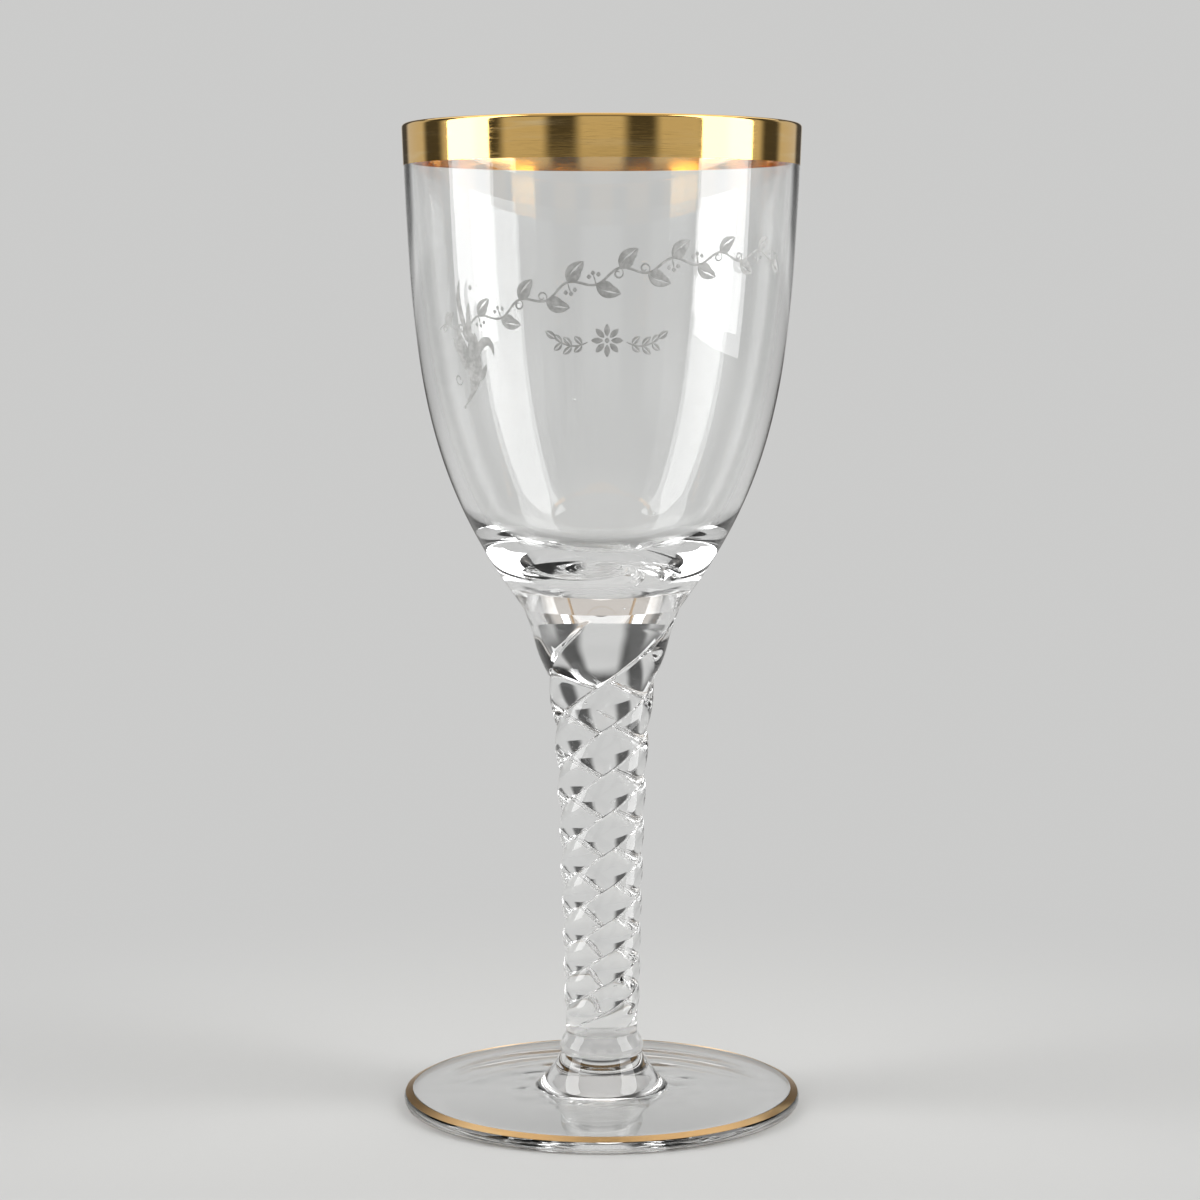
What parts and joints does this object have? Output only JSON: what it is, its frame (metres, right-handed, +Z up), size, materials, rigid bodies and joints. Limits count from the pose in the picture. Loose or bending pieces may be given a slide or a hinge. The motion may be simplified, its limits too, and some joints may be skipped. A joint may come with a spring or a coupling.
{
  "type": "stemmed glass",
  "caption": "Clear stemmed drinking glass with a tall round-bottomed bowl, a solid rope-twisted stem, a thin round foot and gilded edges.",
  "frame": {"origin": "centre of the circle that the foot stands on, in the plane of the table", "axes": "+Z up along the glass's axis; +X to the right and -Y towards the viewer in the picture"},
  "size_m": [0.0708, 0.0708, 0.1737],
  "materials": {
    "clear_glass": "fire-polished, colourless",
    "gilding": "bright fired gold, worn with fine level scratches"
  },
  "bodies": {
    "root": {"bowl": "clear_glass", "stem": "clear_glass", "foot": "clear_glass", "rim_gilding": "gilding", "foot_gilding": "gilding"}
  },
  "joints": []
}
